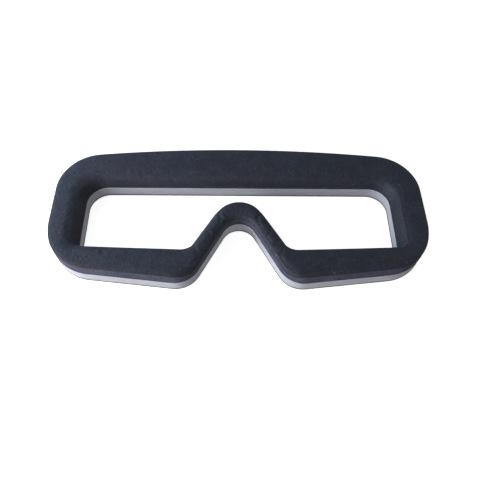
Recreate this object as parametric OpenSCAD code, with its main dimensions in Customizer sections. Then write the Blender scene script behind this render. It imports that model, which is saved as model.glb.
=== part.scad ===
// Soft face pad for a pair of first-person-view flying goggles.
// It is a laminated foam ring that lies flat: +X to the wearer's side, +Y to the brow,
// +Z from the hook-and-loop back (at Z = 0) up to the skin that touches the face.
// Outlines are half outlines, given as corners [x, y, radius] from the centre line round one side.

/* [Outer outline] */
// Overall width, temple to temple
pad_w = 180; // [172:1:188]
// Height of the brow's crown corner above the eye line
crown_h = 39.5; // [38:0.5:41]
// Radius of the long brow arc
brow_r = 700; // [600:10:720]
// Height of the upper temple corner above the eye line
temple_h = 30.8; // [29:0.2:32]
// Radius of the upper temple corner
temple_r = 21.5; // [15:0.5:23]
// Depth of the widest point below the eye line
widest_drop = 10; // [7:0.5:12]
// Radius at the widest point
widest_r = 33; // [20:1:40]
// Depth of the cheek corner below the eye line
cheek_drop = 30; // [28:0.5:32]
// Radius of the cheek corner
cheek_r = 22; // [16:0.5:23]
// Sideways place of each lobe beside the nose
lobe_x = 23; // [21:0.5:26]
// Depth of the lobes below the eye line
lobe_drop = 37; // [35:0.5:39]
// Radius of the lobes
lobe_r = 12.5; // [8:0.5:14]
// Height of the nose notch's peak corner above the eye line
notch_h = 4.5; // [2:0.5:6]
// Radius at the top of the nose notch
notch_r = 8.5; // [6:0.5:10]

/* [Eye window] */
// Width of the padded band at the temples
side_band = 14.8; // [12:0.2:17]
// Height of the window's straight top edge above the eye line
window_h = 16.5; // [14:0.5:19]
// Radius of the window's upper corners
window_r = 10; // [6:0.5:12]
// Depth of the window's outer lower corner below the eye line
window_drop = 17.5; // [14:0.5:19]
// How far further out the window reaches at its lower corner
window_flare = 0.3; // [0:0.1:2]
// Radius of the window's outer lower corners
window_low_r = 1; // [1:0.5:4]
// Sideways place of the window's corner at the foot of the nose
foot_x = 24.2; // [22:0.2:26]
// Depth of the window's corner at the foot of the nose
foot_drop = 19.2; // [17:0.2:20]
// Radius at the foot of the nose
foot_r = 6; // [2:0.5:8]
// Height of the nose bridge's peak corner above the eye line
bridge_h = 20.2; // [18:0.2:22]
// Radius over the nose bridge
bridge_r = 14.3; // [11:0.1:15]

/* [Layers] */
// Thickness of the loop fabric on the back
loop_t = 0.7; // [0.5:0.1:1.2]
// Thickness of each adhesive film
film_t = 0.15; // [0.1:0.05:0.3]
// Thickness of the firm light grey foam
support_t = 6.1; // [4:0.1:9]
// Thickness of the soft dark foam
comfort_t = 5.55; // [5:0.05:9]
// Thickness of the face skin
skin_t = 0.6; // [0.4:0.1:1]
// How far the soft foam's inner wall leans back from the window at the face
bevel = 2.8; // [1:0.1:3.5]
// How much further the inner wall leans back at the temples
temple_bevel = 0.7; // [0:0.1:1.5]
// How far the skin's lip turns down the bevel
lip_h = 2.6; // [1.5:0.1:3]

/* [Hidden] */
half_w = pad_w / 2;
// Room between the skin's lip and the foam behind it, which its glue fills
lip_gap = 0.1;
// Cutters run this far past the faces that they cut
past = 1;
// Greatest distance between an arc and its chords
chord_error = 0.03;
// How far the temple and cheek corners lie in from the widest point, whose arc rounds off a little
temple_in = 0.8;
cheek_in = 4;
widest_out = 0.07;

outer_half = [
    [0, crown_h, brow_r],
    [half_w - temple_in, temple_h, temple_r],
    [half_w + widest_out, -widest_drop, widest_r],
    [half_w - cheek_in, -cheek_drop, cheek_r],
    [lobe_x, -lobe_drop, lobe_r],
    [0, notch_h, notch_r]
];
window_half_w = half_w - side_band;
window_half = [
    [window_half_w, window_h, window_r],
    [window_half_w + window_flare, -window_drop, window_low_r],
    [foot_x, -foot_drop, foot_r],
    [0, bridge_h, bridge_r]
];

// Levels of the stack, from the back to the face
z_loop = loop_t;
z_backing = z_loop + film_t;
z_support = z_backing + support_t;
z_bond = z_support + film_t;
z_comfort = z_bond + comfort_t;
z_film = z_comfort + film_t;
z_face = z_film + skin_t;
z_lip = z_face - lip_h;

// The skin's thickness measured level, across the leaning wall
lean = atan(bevel / (z_face - z_bond));
skin_across = skin_t / cos(lean);
rebate = skin_across + lip_gap;

function unit(v) = v / norm(v);
function turn(a, p, b) = cross(p - a, b - p);
function xy(corner) = [corner[0], corner[1]];

// A half outline and its mirror image, as one closed ring of corners
function both_sides(half) = concat(half, [
    for (i = [len(half) - 1:-1:0])
        if (abs(half[i][0]) > 0.001) [-half[i][0], half[i][1], half[i][2]]
]);

// Points along one rounded corner p between the corners a and b, moved outward by grow
function corner_arc(a, p, b, r, grow) =
    let (
        to_a = unit(a - p),
        to_b = unit(b - p),
        inward = unit(to_a + to_b),
        half_angle = acos(to_a * to_b) / 2,
        centre = p + inward * r / sin(half_angle),
        radius = r + (turn(a, p, b) < 0 ? grow : -grow),
        middle = atan2(-inward[1], -inward[0]),
        sweep = (90 - half_angle) * (turn(a, p, b) < 0 ? 1 : -1),
        steps = max(2, ceil(abs(sweep) / acos(1 - chord_error / r)))
    )
    [for (i = [0:steps]) let (angle = middle + sweep * (1 - 2 * i / steps))
        centre + radius * [cos(angle), sin(angle)]];

// The closed line of a half outline, grown outward all round by grow
function outline(half, grow = 0) =
    let (ring = both_sides(half), n = len(ring))
    [for (i = [0:n - 1]) each corner_arc(
        xy(ring[(i + n - 1) % n]), xy(ring[i]), xy(ring[(i + 1) % n]), ring[i][2], grow)];

// The eye line is set so that the pad's box is centred on the origin
outer_y = [for (p = outline(outer_half)) p[1]];
eye_y = -(max(outer_y) + min(outer_y)) / 2;

// Share of the inner wall's lean that is reached at a height z
function share(z) = max(0, z - z_bond) / (z_face - z_bond);

// A point of the window moved sideways by the temples' extra lean, which fades out towards the nose
function widened(p, share) =
    [p[0] + sign(p[0]) * temple_bevel * share * max(0, abs(p[0]) - foot_x) / (window_half_w - foot_x), p[1]];

module outer_slab(z0, z1) {
    translate([0, eye_y, z0]) linear_extrude(z1 - z0) polygon(outline(outer_half));
}

// One ring of a window plug at a level [z, back]: the leaning wall at z, set back by back
function plug_ring(level) =
    [for (p = outline(window_half, bevel * share(level[0]) + level[1]))
        let (q = widened(p, share(level[0]))) [q[0], q[1], level[0]]];

// A plug of the window's shape through the levels [z, back], from the lowest to the highest
module window_plug(levels) {
    rings = [for (level = levels) plug_ring(level)];
    n = len(rings[0]);
    last = (len(levels) - 1) * n;
    translate([0, eye_y, 0]) polyhedron(
        points = [for (ring = rings) each ring],
        faces = concat(
            [[for (i = [n - 1:-1:0]) i], [for (i = [0:n - 1]) last + i]],
            [for (k = [0:len(levels) - 2], i = [0:n - 1]) let (a = k * n + i, b = k * n + (i + 1) % n)
                each [[a, b, b + n], [a, b + n, a + n]]]
        )
    );
}

// A flat die-cut ring with upright walls
module flat_ring(z0, z1) {
    translate([0, eye_y, z0]) linear_extrude(z1 - z0) difference() {
        polygon(outline(outer_half));
        polygon(outline(window_half));
    }
}

// Loop side of the hook-and-loop fastener, the pad's whole back
module loop_backing() {
    color("#34353b") flat_ring(0, z_loop);
}

// Film that glues the loop fabric to the firm foam
module backing_adhesive() {
    color("#8d8f96") flat_ring(z_loop, z_backing);
}

// Firm light grey foam that carries the shape
module support_foam() {
    color("#bfc2cc") flat_ring(z_backing, z_support);
}

// Dark glue line between the two foams
module foam_bond() {
    color("#2f3036") flat_ring(z_support, z_bond);
}

// Soft dark foam, cut square outside and leaning back inside, with a rebate for the skin's lip
module comfort_foam() {
    color("#4d4e5b") difference() {
        outer_slab(z_bond, z_comfort);
        window_plug([
            [z_bond - past, 0], [z_bond, 0], [z_lip, 0], [z_lip, rebate], [z_comfort + past, rebate]
        ]);
    }
}

// Film that glues the skin to the soft foam
module skin_adhesive() {
    color("#8d8f96") difference() {
        outer_slab(z_comfort, z_film);
        window_plug([[z_comfort - past, rebate], [z_film + past, rebate]]);
    }
}

// Room under the flat of the skin, out from its lip
module under_skin() {
    difference() {
        translate([-pad_w, -pad_w, z_lip - past])
            cube([2 * pad_w, 2 * pad_w, z_film - z_lip + past]);
        window_plug([[z_lip - 2 * past, skin_across], [z_film + past, skin_across]]);
    }
}

// Smooth skin that touches the face, with its lip turned down the bevel
module face_skin() {
    color("#2b2f3b") difference() {
        outer_slab(z_lip, z_face);
        under_skin();
        window_plug([[z_lip - past, 0], [z_face + past, 0]]);
    }
}

loop_backing();
backing_adhesive();
support_foam();
foam_bond();
comfort_foam();
skin_adhesive();
face_skin();
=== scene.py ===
"""Soft face pad for video goggles: a laminated foam ring, lying on a pale floor with its skin up.

Lengths are in millimetres in the tables and functions below, and are turned into metres where a mesh
is made. Heights come from the CAD frame. Each ring is swept: a cross-section is carried round the pad
on two matched outlines, the outer edge and the eye window.
"""
import math

import bpy
import numpy as np
from mathutils import Matrix, Vector, noise


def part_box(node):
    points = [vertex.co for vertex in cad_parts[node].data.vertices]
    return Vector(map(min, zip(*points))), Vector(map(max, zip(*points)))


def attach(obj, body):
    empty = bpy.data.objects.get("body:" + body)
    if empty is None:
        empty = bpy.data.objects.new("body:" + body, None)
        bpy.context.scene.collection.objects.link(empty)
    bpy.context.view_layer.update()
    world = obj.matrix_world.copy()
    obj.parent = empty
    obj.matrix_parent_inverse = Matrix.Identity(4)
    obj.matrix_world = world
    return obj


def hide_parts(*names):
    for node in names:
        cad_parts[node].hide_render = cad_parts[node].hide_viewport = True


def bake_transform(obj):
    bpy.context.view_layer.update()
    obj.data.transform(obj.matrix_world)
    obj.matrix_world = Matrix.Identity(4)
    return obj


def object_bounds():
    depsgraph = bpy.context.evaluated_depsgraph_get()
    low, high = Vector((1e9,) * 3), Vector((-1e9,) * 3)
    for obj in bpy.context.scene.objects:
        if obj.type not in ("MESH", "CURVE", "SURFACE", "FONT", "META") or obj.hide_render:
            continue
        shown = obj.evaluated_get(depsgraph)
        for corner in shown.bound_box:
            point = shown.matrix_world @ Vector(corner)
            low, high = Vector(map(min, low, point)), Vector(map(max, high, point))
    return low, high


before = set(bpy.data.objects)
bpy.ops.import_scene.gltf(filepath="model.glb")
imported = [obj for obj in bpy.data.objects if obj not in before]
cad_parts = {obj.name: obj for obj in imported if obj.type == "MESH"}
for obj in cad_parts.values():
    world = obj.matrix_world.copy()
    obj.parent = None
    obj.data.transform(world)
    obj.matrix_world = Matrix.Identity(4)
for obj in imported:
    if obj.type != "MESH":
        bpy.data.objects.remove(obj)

cad_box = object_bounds()

MM = 0.001

# ---------------------------------------------------------------- levels of the stack, from the CAD
def level(node, top):
    """Height of a CAD node's lowest or highest corner, in millimetres."""
    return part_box(node)[1 if top else 0].z / MM


Z_FLOOR = level("loop_backing", False)
Z_LOOP = level("loop_backing", True)
Z_FIRM = level("support_foam", False)
Z_FIRM_TOP = level("support_foam", True)
Z_SOFT = level("comfort_foam", False)
Z_SOFT_TOP = level("comfort_foam", True)
Z_SHEET = level("skin_adhesive", True)
Z_FACE = level("face_skin", True)
HALF_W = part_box("support_foam")[1].x / MM

BEVEL = 2.8             # how far the inner wall leans back from the window at the face
TEMPLE_BEVEL = 0.7      # how much further it leans back at the temples
SKIN_T = Z_FACE - Z_SHEET

# ---------------------------------------------------------------- outlines
# Corners of the right half of each outline, from the top of the centre line round to its foot:
# x, y, radius, and whether the corner is matched to one on the other outline.
OUTER = [
    (0.0, 39.5, 700.0, False),                  # crown of the brow
    (HALF_W - 0.8, 30.8, 21.5, True),           # temple
    (HALF_W + 0.07, -10.0, 33.0, False),        # widest point
    (HALF_W - 4.0, -30.0, 22.0, True),          # cheek
    (23.0, -37.0, 12.5, True),                  # lobe beside the nose
    (0.0, 4.5, 8.5, True),                      # nose notch
]
SIDE_BAND = 14.8                                # width of the pad between the window and the temple
FOOT_X = 24.2                                   # from the middle to the foot of the nose
WINDOW = [
    (0.0, 16.5, 0.0, False),                    # middle of the straight top edge
    (HALF_W - SIDE_BAND, 16.5, 10.0, True),     # upper corner
    (HALF_W - SIDE_BAND + 0.3, -17.5, 1.0, True),   # lower corner
    (FOOT_X, -19.2, 6.0, True),                 # foot of the nose
    (0.0, 20.2, 14.3, True),                    # bridge of the nose
]
SPACING = 0.8                 # of the points round the outer edge
ARC_POINTS = 10                                 # least number of points on a matched corner
DENSE = 48                                      # points on an arc before it is spaced out evenly


def unit(v):
    return v / np.linalg.norm(v)


def corner_arc(before, corner, after, radius, grow):
    """Points on one rounded corner of a clockwise outline that has grown outward by grow."""
    to_before, to_after = unit(before - corner), unit(after - corner)
    inward = unit(to_before + to_after)
    half = math.acos(float(to_before @ to_after)) / 2
    centre = corner + inward * radius / math.sin(half)
    along, on = corner - before, after - corner
    bulges = along[0] * on[1] - along[1] * on[0] < 0
    sweep = (math.pi / 2 - half) * (1 if bulges else -1)
    angle = math.atan2(-inward[1], -inward[0]) + sweep * np.linspace(1, -1, DENSE + 1)
    return centre + (radius + (grow if bulges else -grow)) * np.column_stack([np.cos(angle), np.sin(angle)])


def stretches(half_outline, grow=0.0):
    """The right half of an outline as a list of lines, split at both ends of each matched corner."""
    points = [np.array(c[:2]) for c in half_outline]
    mirror = np.array([-1.0, 1.0])
    arcs = []
    for i, (x, y, radius, matched) in enumerate(half_outline):
        before = points[i - 1] if i else points[1] * mirror
        after = points[i + 1] if i + 1 < len(points) else points[-2] * mirror
        arcs.append(corner_arc(before, points[i], after, radius, grow) if radius else None)
    middle = DENSE // 2
    lines = []
    if arcs[0] is None:
        open_line = [np.array([[0.0, arcs[1][0][1]]])]
    else:
        open_line = [arcs[0][middle:]]
    for i in range(1, len(arcs)):
        if not half_outline[i][3]:
            open_line.append(arcs[i])
            continue
        lines.append(np.vstack(open_line + [arcs[i][:1]]))
        last = i == len(arcs) - 1
        lines.append(arcs[i][:middle + 1] if last else arcs[i])
        open_line = [arcs[i][-1:]]
    return lines


def length(line):
    return float(np.linalg.norm(np.diff(line, axis=0), axis=1).sum())


def spaced(line, count):
    """count + 1 points, evenly along a line."""
    steps = np.concatenate([[0], np.cumsum(np.linalg.norm(np.diff(line, axis=0), axis=1))])
    at = np.linspace(0, steps[-1], count + 1)
    return np.column_stack([np.interp(at, steps, line[:, k]) for k in (0, 1)])


COUNTS = [
    max(math.ceil(max(length(a), length(b)) / SPACING), ARC_POINTS if i % 2 else 1)
    for i, (a, b) in enumerate(zip(stretches(OUTER), stretches(WINDOW)))
]


def closed_line(half_outline, grow=0.0):
    """A whole outline, clockwise from the top, with the same number of points whatever it has grown by."""
    right = [spaced(line, n)[:-1] for line, n in zip(stretches(half_outline, grow), COUNTS)]
    foot = stretches(half_outline, grow)[-1][-1:]
    right = np.vstack(right + [foot])
    left = right[-2:0:-1] * np.array([-1.0, 1.0])
    return np.vstack([right, left])


def share(z):
    """Share of the inner wall's lean that is reached at a height z."""
    return max(0.0, z - Z_SOFT) / (Z_FACE - Z_SOFT)


def leaned(z):
    """How far the inner wall has leaned back at a height z, away from the temples."""
    return BEVEL * share(z)


# ---------------------------------------------------------------- sweeping a cross-section
def on_outer(inset, z):
    """A ring of points at a height z, inset from the outer edge."""
    xy = closed_line(OUTER, -inset)
    return np.column_stack([xy, np.full(len(xy), z)])


def on_window(grow, z):
    """A ring of points at a height z, grown outward from the window, with the temples' extra lean."""
    xy = closed_line(WINDOW, grow)
    reach = HALF_W - SIDE_BAND - FOOT_X
    extra = TEMPLE_BEVEL * share(z) * np.maximum(0, np.abs(xy[:, 0]) - FOOT_X) / reach
    xy[:, 0] += np.sign(xy[:, 0]) * extra
    return np.column_stack([xy, np.full(len(xy), z)])


def between(first, last, count):
    """count rings evenly between two rings, without the two."""
    return [first + (last - first) * k / (count + 1) for k in range(1, count + 1)]


def ring_mesh(name, rings, wear=None):
    """A closed ring whose cross-section runs through the rings in turn and back to the first.

    wear, if given, is how rubbed the surface is at each ring, for the material to read.
    """
    n = len(rings[0])
    verts = np.vstack(rings)
    faces = []
    for s in range(len(rings)):
        this, following = s * n, (s + 1) % len(rings) * n
        for k in range(n):
            beside = (k + 1) % n
            faces.append((this + k, this + beside, following + beside, following + k))
    mesh = bpy.data.meshes.new(name)
    mesh.from_pydata([tuple(v) for v in verts * MM], [], faces)
    mesh.update()
    corners = verts[np.array(faces)]
    volume = np.einsum("ij,ij->i", corners[:, 0], np.cross(corners[:, 1], corners[:, 2])).sum()
    volume += np.einsum("ij,ij->i", corners[:, 0], np.cross(corners[:, 2], corners[:, 3])).sum()
    if volume < 0:      # the faces point inward
        mesh.flip_normals()
    mesh.polygons.foreach_set("use_smooth", [True] * len(mesh.polygons))
    if wear is not None:
        worn = mesh.attributes.new("wear", "FLOAT", "POINT")
        worn.data.foreach_set("value", np.repeat(np.array(wear, dtype=np.float32), n))
    obj = bpy.data.objects.new(name, mesh)
    bpy.context.scene.collection.objects.link(obj)
    return obj


def rough(p, size, seed):
    """Smooth noise, from about -1 to 1, at a point, with features about size across."""
    return noise.noise(Vector(p) / size + Vector((seed, 0.37 * seed, 0.71 * seed)))


def roughened(ring, size, depth, seed, flat=False):
    """A ring of points shifted by noise, only up and down if flat."""
    out = ring.copy()
    for i, p in enumerate(ring):
        if not flat:
            out[i, 0] += depth * rough(p, size, seed)
            out[i, 1] += depth * rough(p, size, seed + 11)
        out[i, 2] += depth * rough(p, size, seed + 23)
    return out


# ---------------------------------------------------------------- shape of the pieces
# Roughness of each surface: size of its features, their depth, and a seed
FIRM_CUT = (3.0, 0.05, 1)
SOFT_CUT = (1.5, 0.08, 5)
SKIN_CUT = (0.8, 0.05, 13)
SKIN_FACE = (9.0, 0.06, 3)
LOOP_OUTER_CUT = (0.9, 0.05, 7)
LOOP_INNER_CUT = (0.9, 0.05, 8)

WALL_RINGS = 9                                  # rings up a cut wall
FILL_RINGS = 5                                  # rings across a face that is hidden or flat
FIRM_INSET, FIRM_HOLLOW = 0.10, 0.14            # firm foam's wall: inset at its edges, depth of its hollow
SOFT_INSET, SOFT_BULGE = 0.12, 0.16             # soft foam's wall: inset at its edges, height of its bulge
SHELF_STEP = 0.08                               # between the rings just inside a square-cut edge

RIM_CRISP, RIM_SOFT = 0.25, 2.2                 # radius of the face's outer edge
RIM_RINGS = 7
NOTCH_X = (21, 33)                              # the soft rim fades out this far from the middle
NOTCH_Y = (10, 20)                              # and this far up the pad

CREASE_CRISP, CREASE_SOFT = 1.0, 3.8            # radius of the roll from the face into the window
MIDDLE_ROLL = 0.40                              # share of the soft roll along the brow and the nose
LEFT_X, RIGHT_X = (30, 66), (52, 70)            # each temple's own roll fades in this far from the middle
HIGH_Y = (6, 14)                                # the right temple's roll turns soft this far up the pad
LEAN = math.atan2(BEVEL, Z_FACE - Z_SOFT)       # of the inner wall, from upright
TURN = math.pi / 2 - LEAN                       # from the face round to the inner wall
ROLL_RINGS = 9

CUT = 0.35                                      # upright cut edge of the skin, below its roll
CUT_LEVELS = (0.95, 0.6, 0.25)                  # rings down that edge, as shares of it
SKIN_GAP = 0.1                                  # between the back of the skin and the soft foam
RIM_GAP = 0.02                                  # between the skin's cut edge and the soft foam's wall
LIP_END = 0.15                                  # height of the end of the skin's lip above the glue line
FACE_RINGS, BACK_RINGS = 17, 6                  # rings across the skin's face, and across its back
CROWN, CROWN_POWER = 0.10, 0.8                  # height and flatness of the foam's own crown
EDGE_WEAR, ROLL_WEAR = 0.7, 0.35                # rubbing at the outer edge and round the crease, up to 1
EDGE_WEAR_ENDS, ROLL_WEAR_STARTS = 0.3, 0.8     # as shares of the way across the face

GLUE_INSET, GLUE_ROLL_INSET = 0.1, 0.2          # of the skin's glue from a cut edge, and behind a roll
GLUE_CLEAR = 0.1                                # share of its thickness left clear above and below

# Inset and height of the points up the loop fabric's pressed edge
LOOP_EDGE = [(0.18, Z_FLOOR), (0.03, Z_FLOOR + 0.2), (0.0, Z_FLOOR + 0.45), (0.06, Z_LOOP)]
LOOP_TOP_RINGS, PILE_RINGS = 4, 21
PILE_SIZE, PILE_DEPTH, PILE_SEED = 1.1, 0.09, 9

SIM_SCALE = 20                                  # the cloth is simulated this much larger than life
SWELL_CAP = 0.40                                # furthest that the cloth may move a point
SWELL_FRAMES = 20


def fade(value, start, end):
    """Smooth step from 0 at start to 1 at end."""
    t = np.clip((value - start) / (end - start), 0, 1)
    return t * t * (3 - 2 * t)


def blended(crisp, soft, softness):
    """Rings part of the way from crisp to soft, by the softness at each point."""
    return [a + (b - a) * softness[:, None] for a, b in zip(crisp, soft)]


def kept_below(rings, z):
    """The rings, with no point above a height z."""
    for ring in rings:
        ring[:, 2] = np.minimum(ring[:, 2], z)
    return rings


def rim_softness():
    """Round the nose notch the outer edge rolls over; elsewhere it is cut square."""
    x, y, _ = on_outer(0, 0).T
    return (1 - fade(np.abs(x), *NOTCH_X)) * (1 - fade(y, *NOTCH_Y))


def crease_softness():
    """How wide the roll into the window is: widest at the left temple and high on the right.

    It is crisp low on the right, and in between along the brow and the nose.
    """
    x, y, _ = on_window(BEVEL, 0).T
    left, right, high = fade(-x, *LEFT_X), fade(x, *RIGHT_X), fade(y, *HIGH_Y)
    wide = left + right * high
    crisp = right * (1 - high)
    return np.clip(MIDDLE_ROLL + (1 - MIDDLE_ROLL) * wide - MIDDLE_ROLL * crisp, 0, 1)


def rim_arc(radius, back):
    """Rings round the outer edge, from its side up to its face, back behind the surface."""
    rings = []
    for k in range(RIM_RINGS):
        a = math.pi / 2 * k / (RIM_RINGS - 1)
        inset = radius - (radius - back) * math.cos(a)
        rings.append(on_outer(inset, Z_FACE - radius + (radius - back) * math.sin(a)))
    return rings


def rim_shelf(z):
    """Rings level with a sheet's back, which is what lies behind a square-cut edge."""
    return [on_outer(SOFT_INSET + SHELF_STEP * k, z) for k in range(RIM_RINGS)]


def window_side(back, z_end):
    """Rings round the crease and down the inner wall to z_end, back behind the finished surface."""

    def roll(radius):
        centre_grow, centre_z = BEVEL + radius * math.tan(TURN / 2), Z_FACE - radius
        rings = []
        for a in np.linspace(0, TURN, ROLL_RINGS):
            grow = centre_grow - (radius - back) * math.sin(a)
            rings.append(on_window(grow, centre_z + (radius - back) * math.cos(a)))
        last = on_window(leaned(z_end) + back / math.cos(LEAN), z_end)
        return rings + between(rings[-1], last, FILL_RINGS) + [last]

    return blended(roll(CREASE_CRISP), roll(CREASE_SOFT), crease_softness())


# ---------------------------------------------------------------- the pieces
def make_support_foam():
    """Firm foam: upright cut walls with a slight hollow between the two glued faces."""

    def wall(place):
        rings = []
        for f in np.linspace(0, 1, WALL_RINGS):
            inset = FIRM_INSET + FIRM_HOLLOW * math.sin(math.pi * f)
            ring = place(inset, Z_FIRM + (Z_FIRM_TOP - Z_FIRM) * f)
            rings.append(roughened(ring, *FIRM_CUT))
        return rings

    outer, inner = wall(on_outer), wall(on_window)
    top = between(outer[-1], inner[-1], FILL_RINGS)
    bottom = between(inner[0], outer[0], FILL_RINGS)
    return ring_mesh("firm_foam", outer + top + inner[::-1] + bottom)


def make_comfort_foam():
    """Soft foam: its cut outer wall bulges a little, its inner wall lies under the skin."""
    softness = rim_softness()

    def wall(top):
        rings = []
        for f in np.linspace(0, 1, WALL_RINGS):
            inset = SOFT_INSET - SOFT_BULGE * math.sin(math.pi * f)
            rings.append(on_outer(inset, Z_SOFT + (top - Z_SOFT) * f))
        return rings

    outer = blended(wall(Z_SOFT_TOP), wall(Z_FACE - RIM_SOFT - CUT - RIM_GAP), softness)
    outer = [roughened(ring, *SOFT_CUT) for ring in outer]
    behind = SKIN_T + SKIN_GAP
    shoulder = blended(rim_shelf(Z_SOFT_TOP), rim_arc(RIM_SOFT, behind), softness)
    shoulder = kept_below(shoulder, Z_SOFT_TOP)
    inner = kept_below(window_side(behind, Z_SOFT), Z_SOFT_TOP)
    top = between(shoulder[-1], inner[0], FILL_RINGS)
    bottom = between(inner[-1], outer[0], FILL_RINGS)
    return ring_mesh("soft_foam", outer + shoulder + top + inner + bottom)


def make_skin_glue():
    """Glue film under the flat of the skin, kept in from the edge where that rolls over."""
    softness = rim_softness()
    clear = GLUE_CLEAR * (Z_SHEET - Z_SOFT_TOP)

    def edge(z):
        return blended([on_outer(GLUE_INSET, z)], [on_outer(RIM_SOFT + GLUE_ROLL_INSET, z)], softness)[0]

    def lip(z):
        return on_window(BEVEL + CREASE_SOFT * math.tan(TURN / 2), z)

    low, high = Z_SOFT_TOP + clear, Z_SHEET - clear
    top = between(edge(high), lip(high), FILL_RINGS)
    bottom = between(lip(low), edge(low), FILL_RINGS)
    return ring_mesh("skin_glue", [edge(low), edge(high)] + top + [lip(high), lip(low)] + bottom)


def swelled(rings, held):
    """The skin's face as a cloth held along some of its rings, swelled over the foam with gravity off."""
    n = len(rings[0])
    start = np.vstack(rings) * MM * SIM_SCALE
    faces = [
        (s * n + k, s * n + (k + 1) % n, (s + 1) * n + (k + 1) % n, (s + 1) * n + k)
        for s in range(len(rings) - 1) for k in range(n)
    ]
    mesh = bpy.data.meshes.new("swelling")
    mesh.from_pydata([tuple(v) for v in start], [], faces)
    mesh.update()
    if sum(p.normal.z for p in mesh.polygons) < 0:
        mesh.flip_normals()
    cloth_piece = bpy.data.objects.new("swelling", mesh)
    scene = bpy.context.scene
    scene.collection.objects.link(cloth_piece)
    pins = cloth_piece.vertex_groups.new(name="held")
    pins.add([s * n + k for s in held for k in range(n)], 1.0, "REPLACE")
    cloth = cloth_piece.modifiers.new("cloth", "CLOTH")
    settings = cloth.settings
    settings.quality = 6
    settings.mass = 0.2
    settings.tension_stiffness = settings.compression_stiffness = 12
    settings.shear_stiffness = 6
    settings.bending_stiffness = 0.4
    settings.vertex_group_mass = "held"
    settings.use_pressure = True
    settings.uniform_pressure_force = 4
    settings.shrink_min = -0.012
    settings.effector_weights.gravity = 0
    cloth.point_cache.frame_start, cloth.point_cache.frame_end = 1, SWELL_FRAMES
    for frame_number in range(1, SWELL_FRAMES + 1):
        scene.frame_set(frame_number)
    shown = cloth_piece.evaluated_get(bpy.context.evaluated_depsgraph_get())
    end = np.array([v.co for v in shown.data.vertices])
    bpy.data.objects.remove(cloth_piece)
    scene.frame_set(1)
    shift = (end - start) / (MM * SIM_SCALE)
    far = np.linalg.norm(shift, axis=1, keepdims=True)
    shift *= SWELL_CAP * np.tanh(far / SWELL_CAP) / np.maximum(far, 1e-9)
    shifts = shift.reshape(len(rings), n, 3)
    kept = fade(len(rings) - 1 - np.arange(len(rings)), 0, ROLL_RINGS)
    return [ring + part * moved for ring, part, moved in zip(rings, kept, shifts)]


def skin_wear(cut, rim, body, lip):
    """How rubbed the skin is at each ring: most at its cut edge, a little round the crease."""
    across = np.linspace(0, 1, len(body))
    from_edge = EDGE_WEAR * (1 - fade(across, 0, EDGE_WEAR_ENDS))
    to_crease = ROLL_WEAR * fade(across, ROLL_WEAR_STARTS, 1)
    down_lip = ROLL_WEAR * (1 - fade(np.arange(len(lip)), ROLL_RINGS - 1, len(lip) - 1))
    rolled = np.linspace(1, EDGE_WEAR, len(rim))
    return [1.0] * len(cut) + [*rolled, *(from_edge + to_crease), *down_lip]


def make_face_skin():
    """Skin: a cut outer edge, a gently crowned face, and a roll into the window down to the glue line."""
    softness = rim_softness()
    rim = blended(rim_arc(RIM_CRISP, 0.0), rim_arc(RIM_SOFT, 0.0), softness)
    under_rim = blended(rim_shelf(Z_SHEET), rim_arc(RIM_SOFT, SKIN_T), softness)
    cut = []
    for part in CUT_LEVELS:
        ring = rim[0].copy()
        ring[:, 2] -= CUT * part
        cut.append(roughened(ring, *SKIN_CUT))
    lip, under = window_side(0.0, Z_SOFT + LIP_END), window_side(SKIN_T, Z_SOFT + LIP_END)
    face = between(rim[-1], lip[0], FACE_RINGS)
    for k, ring in enumerate(face):
        f = (k + 1) / (FACE_RINGS + 1)
        ring[:, 2] += CROWN * math.sin(math.pi * f) ** CROWN_POWER
    free = [rim[-1]] + face + lip[:ROLL_RINGS]
    free = swelled(free, held=(0, len(free) - 1))
    face, lip[:ROLL_RINGS] = free[1:-ROLL_RINGS], free[-ROLL_RINGS:]
    body = [roughened(ring, *SKIN_FACE, flat=True) for ring in face]
    back = kept_below(between(under[0], under_rim[-1], BACK_RINGS), Z_SHEET)
    hidden = under[::-1] + back + under_rim[::-1]
    wear = skin_wear(cut, rim, body, lip) + [0.0] * len(hidden)
    return ring_mesh("skin", cut + rim + body + lip + hidden, wear)


def make_loop_backing():
    """Loop fabric: a thin ring with a soft, pressed edge and an uneven pile on its back."""
    outer = [roughened(on_outer(*point), *LOOP_OUTER_CUT) for point in LOOP_EDGE]
    inner = [roughened(on_window(*point), *LOOP_INNER_CUT) for point in LOOP_EDGE[::-1]]
    for ring in outer + inner:
        ring[:, 2] = np.maximum(ring[:, 2], Z_FLOOR)
    top = between(outer[-1], inner[0], LOOP_TOP_RINGS)
    pile = between(inner[-1], outer[0], PILE_RINGS)
    for ring in pile:
        for i, p in enumerate(ring):
            ring[i, 2] = Z_FLOOR + PILE_DEPTH * (1 + rough(p, PILE_SIZE, PILE_SEED))
    return ring_mesh("loop_fabric", outer + top + inner + pile)


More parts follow.
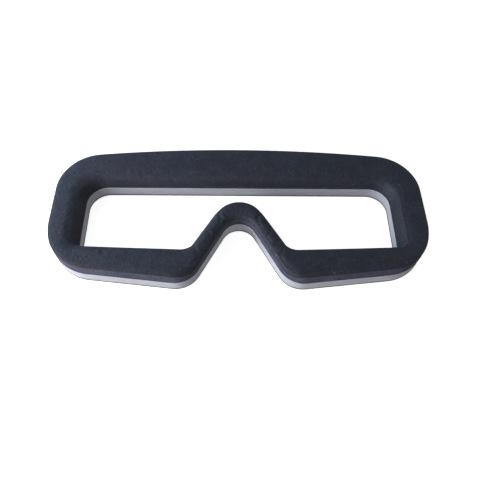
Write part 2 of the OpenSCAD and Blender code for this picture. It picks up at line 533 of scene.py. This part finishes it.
# ---------------------------------------------------------------- materials
class Material:
    """A principled material with short helpers for its procedural nodes. Sizes are in millimetres."""

    def __init__(self, name, roughness, **sockets):
        self.material = bpy.data.materials.new(name)
        self.material.use_nodes = True
        self.nodes = self.material.node_tree.nodes
        self.links = self.material.node_tree.links
        self.shader = self.nodes["Principled BSDF"]
        self.shader.inputs["Roughness"].default_value = roughness
        for socket, value in sockets.items():
            self.shader.inputs[socket.replace("_", " ")].default_value = value
        self.place = self.nodes.new("ShaderNodeTexCoord").outputs["Object"]

    def stretched(self, x, y, z):
        """The place on the object, scaled along each axis."""
        node = self.nodes.new("ShaderNodeMapping")
        node.inputs["Scale"].default_value = (x, y, z)
        self.links.new(self.place, node.inputs["Vector"])
        return node.outputs["Vector"]

    def noise(self, size, detail=2.0, roughness=0.5, place=None):
        """Cloudy noise with features of about a size."""
        node = self.nodes.new("ShaderNodeTexNoise")
        node.inputs["Scale"].default_value = 1 / MM / size
        node.inputs["Detail"].default_value = detail
        node.inputs["Roughness"].default_value = roughness
        self.links.new(place or self.place, node.inputs["Vector"])
        return node.outputs["Fac"]

    def cells(self, size):
        """Distance from the middle of the nearest of many cells of about a size."""
        node = self.nodes.new("ShaderNodeTexVoronoi")
        node.inputs["Scale"].default_value = 1 / MM / size
        self.links.new(self.place, node.inputs["Vector"])
        return node.outputs["Distance"]

    def attribute(self, name):
        """A value stored on the mesh."""
        node = self.nodes.new("ShaderNodeAttribute")
        node.attribute_name = name
        return node.outputs["Fac"]

    def ramp(self, value, *stops):
        """The value turned into a colour, or a grey level, by (position, colour) stops."""
        node = self.nodes.new("ShaderNodeValToRGB")
        elements = node.color_ramp.elements
        while len(elements) < len(stops):
            elements.new(0.5)
        for element, (at, colour) in zip(elements, stops):
            element.position = at
            element.color = (*colour, 1) if isinstance(colour, tuple) else (colour, colour, colour, 1)
        self.links.new(value, node.inputs["Fac"])
        return node.outputs["Color"]

    def mix(self, fac, a, b, blend="MIX"):
        """a and b mixed; each input is a number, a colour or another node's output."""
        node = self.nodes.new("ShaderNodeMix")
        node.data_type = "RGBA"
        node.blend_type = blend
        for socket, value in (("Factor", fac), ("A", a), ("B", b)):
            kind = "VALUE" if socket == "Factor" else "RGBA"
            target = next(s for s in node.inputs if s.name == socket and s.type == kind)
            if isinstance(value, (int, float)):
                target.default_value = value
            elif isinstance(value, tuple):
                target.default_value = (*value, 1)
            else:
                self.links.new(value, target)
        return next(s for s in node.outputs if s.type == "RGBA")

    def times(self, a, b):
        """a and b multiplied."""
        return self.mix(1.0, a, b, "MULTIPLY")

    def colour(self, value):
        """Sets the base colour to a node's output."""
        self.links.new(value, self.shader.inputs["Base Color"])

    def roughness(self, value, low, high):
        """Sets the roughness to a node's output, taken from 0 to 1 into low to high."""
        node = self.nodes.new("ShaderNodeMapRange")
        node.inputs["To Min"].default_value = low
        node.inputs["To Max"].default_value = high
        self.links.new(value, node.inputs["Value"])
        self.links.new(node.outputs["Result"], self.shader.inputs["Roughness"])

    def bumps(self, *layers):
        """Layers of (height, depth in mm), one on the other."""
        normal = None
        for height, depth in layers:
            node = self.nodes.new("ShaderNodeBump")
            node.inputs["Strength"].default_value = 1.0
            node.inputs["Distance"].default_value = depth * MM
            self.links.new(height, node.inputs["Height"])
            if normal is not None:
                self.links.new(normal, node.inputs["Normal"])
            normal = node.outputs["Normal"]
        self.links.new(normal, self.shader.inputs["Normal"])


def skin_material():
    """Dark navy skin: cool and warm blotches, pores darkened towards their middles as painted shade, lint,
    and scuffs and nicks where it is worn.
    """
    m = Material("skin", 0.6, Specular_IOR_Level=0.33, Sheen_Weight=0.12, Sheen_Roughness=0.5)
    m.shader.inputs["Sheen Tint"].default_value = (0.72, 0.78, 1.0, 1)
    mottle = m.noise(6, 4, 0.65)
    tint = m.noise(16, 2, 0.5)
    fine = m.noise(1.1, 3, 0.65)
    pores = m.cells(1.5)
    grain = m.cells(0.6)
    cool = m.ramp(mottle, (0.30, (0.020, 0.0245, 0.036)), (0.70, (0.032, 0.039, 0.054)))
    warm = m.ramp(mottle, (0.30, (0.022, 0.0225, 0.034)), (0.70, (0.035, 0.0355, 0.052)))
    base = m.mix(m.ramp(tint, (0.42, 0.0), (0.58, 1.0)), cool, warm)
    speck = m.ramp(fine, (0.32, 0.68), (0.70, 1.25))
    # Painted shade: each pore is darker towards its middle, where the bump dips.
    pore_shade = m.ramp(pores, (0.02, 0.50), (0.20, 1.0))
    lint = m.ramp(m.noise(0.9, 1, 0.5), (0.765, 0.0), (0.80, 0.8))
    pale_scuff, dark_nick, pale_lint = (0.085, 0.092, 0.115), (0.006, 0.006, 0.008), (0.22, 0.23, 0.26)
    grained = m.times(m.times(base, speck), pore_shade)
    wear = m.attribute("wear")
    scuffed = m.times(m.ramp(m.noise(1.0, 3, 0.7), (0.52, 0.0), (0.70, 0.45)), wear)
    nicked = m.times(m.ramp(m.cells(1.3), (0.10, 0.9), (0.24, 0.0)), wear)
    rubbed = m.mix(nicked, m.mix(scuffed, grained, pale_scuff), dark_nick)
    m.colour(m.mix(lint, rubbed, pale_lint))
    m.roughness(m.noise(3.0, 3), 0.48, 0.74)
    m.bumps((m.noise(3.2, 2, 0.5), 0.16), (grain, 0.06), (fine, 0.11), (pores, 0.09))
    return m.material


def soft_foam_material():
    """Dark foam with torn open cells of two sizes, each darkened towards its hollow middle as painted
    shade.
    """
    m = Material("soft_foam", 0.95, Specular_IOR_Level=0.2)
    large, small = m.cells(0.95), m.cells(0.42)
    crumbs = m.noise(0.8, 2, 0.7)
    base = m.ramp(m.noise(9, 2), (0.3, (0.078, 0.079, 0.116)), (0.7, (0.112, 0.113, 0.160)))
    # Painted shade: the large and small cells are darker towards their middles, where the bumps dip.
    cell_shade = m.ramp(large, (0.12, 0.45), (0.42, 1.06))
    pores = m.ramp(small, (0.12, 0.60), (0.45, 1.08))
    torn = m.ramp(crumbs, (0.60, 0.0), (0.78, 0.70))
    pale_crumb = (0.18, 0.18, 0.23)
    m.colour(m.mix(torn, m.times(m.times(base, cell_shade), pores), pale_crumb))
    m.bumps((large, 0.30), (small, 0.15), (crumbs, 0.2))
    return m.material


def firm_foam_material():
    """Pale fine-celled foam, streaked along the cut by the die, each cell darkened towards its middle as
    painted shade.
    """
    m = Material("firm_foam", 0.85, Specular_IOR_Level=0.3)
    streaks = m.noise(1.0, 3, 0.6, m.stretched(0.05, 0.05, 1.6))
    cell = m.cells(0.38)
    base = m.ramp(streaks, (0.25, (0.53, 0.54, 0.59)), (0.75, (0.67, 0.68, 0.74)))
    # Painted shade: each cell is darker towards its middle, where the bump dips.
    pit_shade = m.ramp(cell, (0.05, 0.80), (0.45, 1.0))
    m.colour(m.times(base, pit_shade))
    m.bumps((cell, 0.10), (streaks, 0.12))
    return m.material


def loop_material():
    """Dark brushed loop fabric."""
    m = Material("loop_fabric", 0.95, Specular_IOR_Level=0.2, Sheen_Weight=0.4, Sheen_Roughness=0.4)
    loops = m.cells(0.6)
    fuzz = m.noise(0.35, 3, 0.7)
    base = m.ramp(fuzz, (0.3, (0.060, 0.061, 0.066)), (0.75, (0.170, 0.172, 0.182)))
    m.colour(m.times(base, m.ramp(loops, (0.1, 1.15), (0.7, 0.6))))
    m.bumps((loops, 0.3), (fuzz, 0.2))
    return m.material


def film_material(name, dark, light):
    """A smeared film of glue between two shades."""
    m = Material(name, 0.5, Specular_IOR_Level=0.4)
    smear = m.noise(2.0, 3, 0.6)
    m.colour(m.ramp(smear, (0.3, dark), (0.7, light)))
    m.roughness(smear, 0.35, 0.65)
    m.bumps((smear, 0.05))
    return m.material


def dress(obj, material):
    """Puts one material on every face of a piece or CAD node."""
    obj.data.materials.clear()
    obj.data.materials.append(material)


# ---------------------------------------------------------------- camera, floor and light
CAMERA_AT = (-4.0, -137.66, 228.33)             # in millimetres
CAMERA_PITCH, CAMERA_YAW, CAMERA_ROLL = 60.67, 2.03, 2.07       # degrees: down, right, anticlockwise
SENSOR_W, LENS = 36.0, 39.77                    # in millimetres
CLIP_START = 0.005                              # in metres

# Lights: name, place in metres, size in metres, watts and colour
LIGHTS = [
    ("near_left", (-0.25, -0.13, 0.10), 0.15, 0.64, (0.98, 0.99, 1.0)),
    ("far_left", (-0.60, -0.10, 0.20), 0.30, 0.88, (0.88, 0.85, 1.0)),
    ("back_left", (-0.20, 0.12, 0.15), 0.15, 0.30, (0.52, 0.74, 1.0)),
    ("low_front", (-0.30, -0.22, 0.03), 0.06, 0.22, (0.92, 0.93, 1.0)),
    ("front", (0.02, -0.40, 0.06), 0.10, 0.16, (0.96, 0.96, 1.0)),
    ("back_right", (0.60, 0.30, 0.20), 0.30, 0.40, (1.0, 1.0, 1.0)),
]
WORLD_LIGHT = 0.22                              # strength of the light from all round
WORLD_COLOUR = (0.98, 0.98, 1.0, 1)

STAGE_R = 3.0                                   # radius of the floor and height of the wall, in metres
STAGE_SIDES = 64
STAGE_COLOUR = (0.9, 0.9, 0.9, 1)
STAGE_ROUGHNESS, STAGE_SPECULAR = 0.9, 0.1
STAGE_GLOW = 0.80                               # the floor's own light, which keeps it pale


def make_camera():
    """A camera above and in front of the pad, looking down at it."""
    pitch, yaw, roll = math.radians(CAMERA_PITCH), math.radians(CAMERA_YAW), math.radians(CAMERA_ROLL)
    forward = Vector((math.sin(yaw) * math.cos(pitch), math.cos(yaw) * math.cos(pitch), -math.sin(pitch)))
    right = Vector((math.cos(yaw), -math.sin(yaw), 0))
    up = right.cross(forward)
    turned_right = right * math.cos(roll) + up * math.sin(roll)
    turned_up = up * math.cos(roll) - right * math.sin(roll)
    data = bpy.data.cameras.new("camera")
    data.sensor_width, data.lens, data.clip_start = SENSOR_W, LENS, CLIP_START
    camera = bpy.data.objects.new("camera", data)
    bpy.context.scene.collection.objects.link(camera)
    axes = Matrix((turned_right, turned_up, -forward)).transposed().to_4x4()
    camera.matrix_world = Matrix.Translation(Vector(CAMERA_AT) * MM) @ axes
    bpy.context.scene.camera = camera


def stage_surface(name, verts, faces, stops_light):
    """A pale glowing surface round the object, which the object's own lighting and gloss don't see."""
    mesh = bpy.data.meshes.new(name)
    mesh.from_pydata(verts, [], faces)
    surface = bpy.data.objects.new(name, mesh)
    bpy.context.scene.collection.objects.link(surface)
    surface.visible_diffuse = False
    surface.visible_glossy = False
    surface.visible_shadow = stops_light
    material = bpy.data.materials.new(name)
    material.use_nodes = True
    shader = material.node_tree.nodes["Principled BSDF"]
    shader.inputs["Base Color"].default_value = STAGE_COLOUR
    shader.inputs["Roughness"].default_value = STAGE_ROUGHNESS
    shader.inputs["Specular IOR Level"].default_value = STAGE_SPECULAR
    shader.inputs["Emission Color"].default_value = (1, 1, 1, 1)
    shader.inputs["Emission Strength"].default_value = STAGE_GLOW
    mesh.materials.append(material)


def make_backdrop():
    """A round floor under the mounting face, and an upright wall round its edge."""
    turns = np.linspace(0, 2 * math.pi, STAGE_SIDES, endpoint=False)
    z = cad_box[0].z
    edge = [(STAGE_R * math.cos(a), STAGE_R * math.sin(a), z) for a in turns]
    top = [(x, y, z + STAGE_R) for x, y, z in edge]
    stage_surface("floor", edge, [tuple(range(STAGE_SIDES))], stops_light=True)
    wall = []
    for k in range(STAGE_SIDES):
        beside = (k + 1) % STAGE_SIDES
        wall.append((beside, k, k + STAGE_SIDES, beside + STAGE_SIDES))
    stage_surface("wall", edge + top, wall, stops_light=False)


def area_light(name, at, size, watts, colour):
    """A soft square light aimed at the middle of the pad."""
    data = bpy.data.lights.new(name, "AREA")
    data.size, data.energy, data.color = size, watts, colour
    light = bpy.data.objects.new(name, data)
    bpy.context.scene.collection.objects.link(light)
    light.location = at
    light.rotation_euler = (-Vector(at)).to_track_quat("-Z", "Y").to_euler()


def make_light():
    """Light from all round, the lamps, and plain colours in the picture."""
    world = bpy.data.worlds.new("studio")
    bpy.context.scene.world = world
    world.use_nodes = True
    background = world.node_tree.nodes["Background"]
    background.inputs["Color"].default_value = WORLD_COLOUR
    background.inputs["Strength"].default_value = WORLD_LIGHT
    for light in LIGHTS:
        area_light(*light)
    bpy.context.scene.view_settings.view_transform = "Standard"
    bpy.context.scene.view_settings.look = "None"


# ---------------------------------------------------------------- putting it together
make_camera()
make_backdrop()
make_light()

SKIN, SOFT = skin_material(), soft_foam_material()
FIRM, LOOP = firm_foam_material(), loop_material()
GLUE = film_material("glue_line", (0.020, 0.020, 0.026), (0.045, 0.045, 0.055))
FILM = film_material("film", (0.16, 0.165, 0.18), (0.24, 0.245, 0.26))

for node, material in (("backing_adhesive", FILM), ("foam_bond", GLUE)):
    dress(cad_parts[node], material)

loop_fabric = make_loop_backing()
dress(loop_fabric, LOOP)
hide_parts("loop_backing")
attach(loop_fabric, "backing")

firm_foam = make_support_foam()
dress(firm_foam, FIRM)
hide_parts("support_foam")
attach(firm_foam, "backing")

# The soft foam and the skin on it stay unattached, with their places baked into their meshes
soft_foam = make_comfort_foam()
dress(soft_foam, SOFT)
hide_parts("comfort_foam")
skin = make_face_skin()
dress(skin, SKIN)
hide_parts("face_skin")
for piece in (soft_foam, skin):
    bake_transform(piece)

skin_glue = make_skin_glue()
dress(skin_glue, GLUE)
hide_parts("skin_adhesive")
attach(skin_glue, "face")
